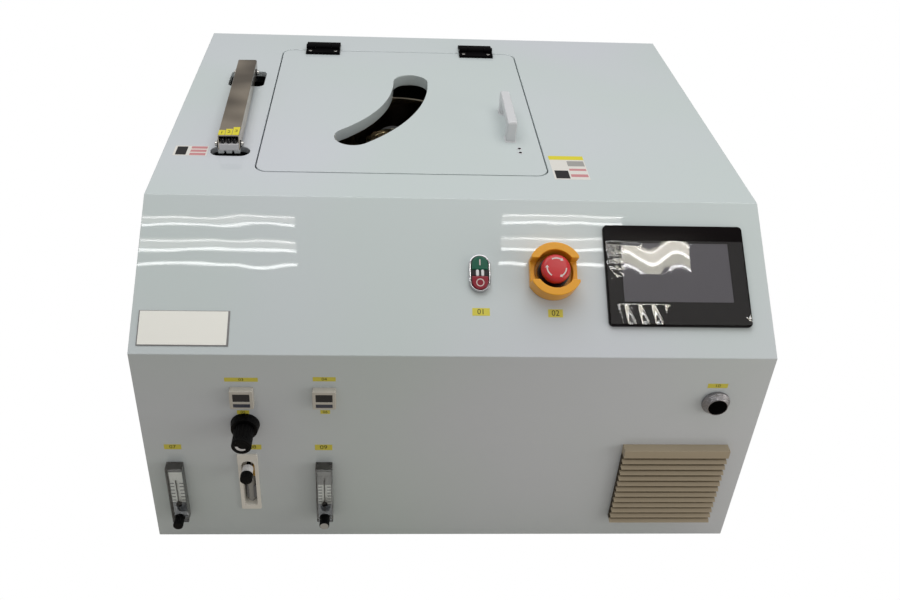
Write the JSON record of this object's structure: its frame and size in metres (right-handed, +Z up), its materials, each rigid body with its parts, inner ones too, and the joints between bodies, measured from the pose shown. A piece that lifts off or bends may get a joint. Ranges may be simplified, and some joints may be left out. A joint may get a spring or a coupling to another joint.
{
  "type": "wafer developer",
  "caption": "Benchtop spin developer: sloped cabinet, hinged lid with an arc slot over a spin bowl, swinging dispense arm, touch panel, stop button, gauges and vent grille.",
  "frame": {"origin": "centre of the footprint, on the surface that the feet stand on", "axes": "+X to the operator's right, +Y to the rear, +Z up"},
  "size_m": [0.88, 0.888, 0.553],
  "materials": {
    "cabinet_sheet": "glossy polypropylene sheet",
    "inner_sheet": "satin polypropylene sheet",
    "lid_sheet": "glossy polypropylene sheet",
    "handle_white": "moulded white plastic",
    "hinge_black": "black coated die casting",
    "bright_steel": "polished stainless fasteners and pins",
    "bowl_steel": "polished stainless sheet",
    "arm_steel": "brushed stainless sheet",
    "machined_aluminium": "machined and anodised",
    "rubber_black": "moulded rubber",
    "gasket_foam": "closed-cell gasket",
    "black_plastic": "moulded black plastic",
    "bezel_black": "glossy black moulding",
    "display_glass": "dark display glass",
    "nozzle_white": "machined white fluoropolymer",
    "tube_dark": "dark fluoropolymer tube",
    "power_chrome": "chromed bezel",
    "button_green": "green moulded button",
    "button_red": "red moulded button",
    "guard_yellow": "yellow moulded guard",
    "stop_red": "red moulded head",
    "ivory_plastic": "ivory moulding",
    "clear_acrylic": "machined clear acrylic",
    "grille_beige": "beige moulded grille",
    "pipe_grey": "grey plastic pipe",
    "box_paint": "grey powder coat",
    "chuck_white": "machined natural plastic",
    "brass_fitting": "nickel-plated brass"
  },
  "bodies": {
    "root": {"side_panels": "cabinet_sheet", "front_panel": "cabinet_sheet", "control_panel": "cabinet_sheet", "top_panel": "cabinet_sheet", "rear_panel": "cabinet_sheet", "base_plate": "inner_sheet", "chamber_deck": "inner_sheet", "lid_seat_frame": "inner_sheet", "levelling_feet": "rubber_black", "lid_gasket": "gasket_foam", "hinge_body_leaves": "hinge_black", "hinge_pins": "bright_steel", "interlock_sensor": "black_plastic", "process_bowl": "bowl_steel", "exhaust_duct": "pipe_grey", "drain_pipe": "pipe_grey", "motor_plate": "machined_aluminium", "spin_motor": "machined_aluminium", "arm_lift_cylinder": "machined_aluminium", "parking_cup": "inner_sheet", "hmi_bezel": "bezel_black", "hmi_screen": "display_glass", "power_bezel": "power_chrome", "estop_guard": "guard_yellow", "estop_base": "black_plastic", "buzzer": "power_chrome", "pressure_sensors": "ivory_plastic", "regulator_body": "black_plastic", "flow_bezel": "ivory_plastic", "flow_tube": "clear_acrylic", "rotameter_bodies": "clear_acrylic", "vent_grille": "grille_beige", "fan_frame": "black_plastic", "rear_fittings": "brass_fitting", "control_box": "box_paint", "valve_block": "machined_aluminium"},
    "lid": {"lid_panel": "lid_sheet", "lid_handle": "handle_white", "hinge_lid_leaves": "hinge_black", "lid_screws": "bright_steel", "interlock_magnet": "black_plastic"},
    "chuck": {"wafer_chuck": "chuck_white", "spindle_shaft": "bright_steel"},
    "arm_column": {"arm_lift_tube": "bright_steel"},
    "arm": {"arm_swing_shaft": "bright_steel", "arm_beam": "machined_aluminium", "arm_cover": "arm_steel", "nozzle_block": "nozzle_white", "dispense_tubes": "tube_dark"},
    "green_button": {"green_button": "button_green"},
    "red_button": {"red_button": "button_red"},
    "stop_plunger": {"estop_plunger": "bright_steel"},
    "stop_head": {"estop_head": "stop_red"},
    "regulator_knob": {"regulator_knob": "black_plastic"},
    "left_flow_knob": {"left_flow_knob": "black_plastic"},
    "centre_flow_knob": {"centre_flow_knob": "black_plastic"},
    "right_flow_knob": {"right_flow_knob": "black_plastic"},
    "left_float": {"left_float": "black_plastic"},
    "right_float": {"right_float": "black_plastic"},
    "fan_rotor": {"fan_rotor": "black_plastic"}
  },
  "joints": [
    {"name": "lid_hinge", "type": "hinge", "parent": "root", "child": "lid", "pos_m": [-0.07335, 0.325, 0.523], "axis": [-1, 0, 0], "range_deg": [0, 100]},
    {"name": "chuck_spin", "type": "hinge", "parent": "root", "child": "chuck", "pos_m": [-0.0844, 0.087, 0.44], "axis": [0, 0, 1], "continuous": true},
    {"name": "arm_lift", "type": "slide", "parent": "root", "child": "arm_column", "axis": [0, 0, 1], "range_m": [0, 0.04]},
    {"name": "arm_swing", "type": "hinge", "parent": "arm_column", "child": "arm", "pos_m": [-0.346, 0.184, 0.517], "axis": [0, 0, 1], "range_deg": [0, 88]},
    {"name": "green_button_press", "type": "slide", "parent": "root", "child": "green_button", "axis": [0, 0.6139, -0.7894], "range_m": [0, 0.003], "stiffness_N_per_m": 500},
    {"name": "red_button_press", "type": "slide", "parent": "root", "child": "red_button", "axis": [0, 0.6139, -0.7894], "range_m": [0, 0.003], "stiffness_N_per_m": 500},
    {"name": "estop_push", "type": "slide", "parent": "root", "child": "stop_plunger", "axis": [0, 0.6139, -0.7894], "range_m": [0, 0.006], "stiffness_N_per_m": 1500},
    {"name": "estop_twist", "type": "hinge", "parent": "stop_plunger", "child": "stop_head", "pos_m": [0.134, -0.32299, 0.46857], "axis": [0, 0.6139, -0.7894], "range_deg": [0, 30], "stiffness_Nm_per_rad": 0.05},
    {"name": "regulator_turn", "type": "hinge", "parent": "root", "child": "regulator_knob", "pos_m": [-0.293, -0.43, 0.2495], "axis": [0, 1, 0], "range_deg": [0, 720]},
    {"name": "left_flow_turn", "type": "hinge", "parent": "root", "child": "left_flow_knob", "pos_m": [-0.3995, -0.424, 0.072], "axis": [0, -1, 0], "range_deg": [0, 720]},
    {"name": "centre_flow_turn", "type": "hinge", "parent": "root", "child": "centre_flow_knob", "pos_m": [-0.2943, -0.415, 0.164], "axis": [0, -1, 0], "range_deg": [0, 720]},
    {"name": "right_flow_turn", "type": "hinge", "parent": "root", "child": "right_flow_knob", "pos_m": [-0.1838, -0.424, 0.072], "axis": [0, -1, 0], "range_deg": [0, 720]},
    {"name": "left_float_rise", "type": "slide", "parent": "root", "child": "left_float", "axis": [0, 0, 1], "range_m": [0, 0.0634]},
    {"name": "right_float_rise", "type": "slide", "parent": "root", "child": "right_float", "axis": [0, 0, 1], "range_m": [0, 0.0634]},
    {"name": "fan_spin", "type": "hinge", "parent": "root", "child": "fan_rotor", "pos_m": [0.3295, -0.37, 0.134], "axis": [0, -1, 0], "continuous": true}
  ]
}
